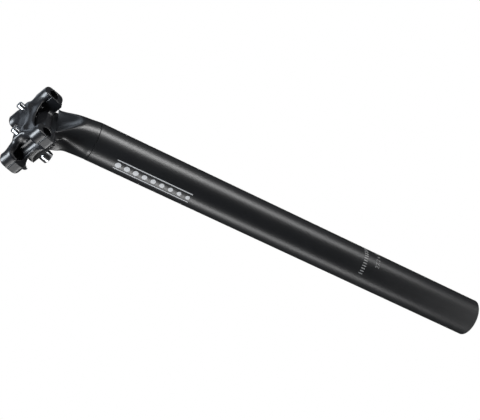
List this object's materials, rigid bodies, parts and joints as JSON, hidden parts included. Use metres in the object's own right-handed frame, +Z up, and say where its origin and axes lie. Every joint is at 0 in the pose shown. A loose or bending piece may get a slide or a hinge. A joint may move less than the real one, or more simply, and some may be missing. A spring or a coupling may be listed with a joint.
{
  "type": "bicycle seatpost",
  "caption": "Straight round bicycle seatpost with a set-back forged head and a tilting saddle rail clamp held by side-by-side bolts.",
  "frame": {"origin": "on the post axis at the insertion mark, 100 mm above the butt end", "axes": "+X to the front of the bicycle, +Y to its left, +Z up the post"},
  "size_m": [0.047, 0.0542, 0.3638],
  "materials": {
    "black_tube": "bead-blasted, satin black anodised",
    "black_forging": "forged, satin black anodised",
    "black_clamp": "forged, smooth satin black anodised",
    "bolt_steel": "plain turned steel",
    "black_washer": "ribbed, black anodised"
  },
  "bodies": {
    "post": {"post_tube": "black_tube", "post_head": "black_forging"},
    "clamp": {"lower_cradle": "black_clamp", "upper_clamp": "black_clamp", "clamp_bolt_left": "bolt_steel", "clamp_bolt_right": "bolt_steel", "tilt_washer_left": "black_washer", "tilt_washer_right": "black_washer"}
  },
  "joints": [
    {"name": "clamp_tilt", "type": "hinge", "parent": "post", "child": "clamp", "pos_m": [-0.01937, 0, 0.22703], "axis": [0, 1, 0], "range_deg": [-10, 10]}
  ]
}
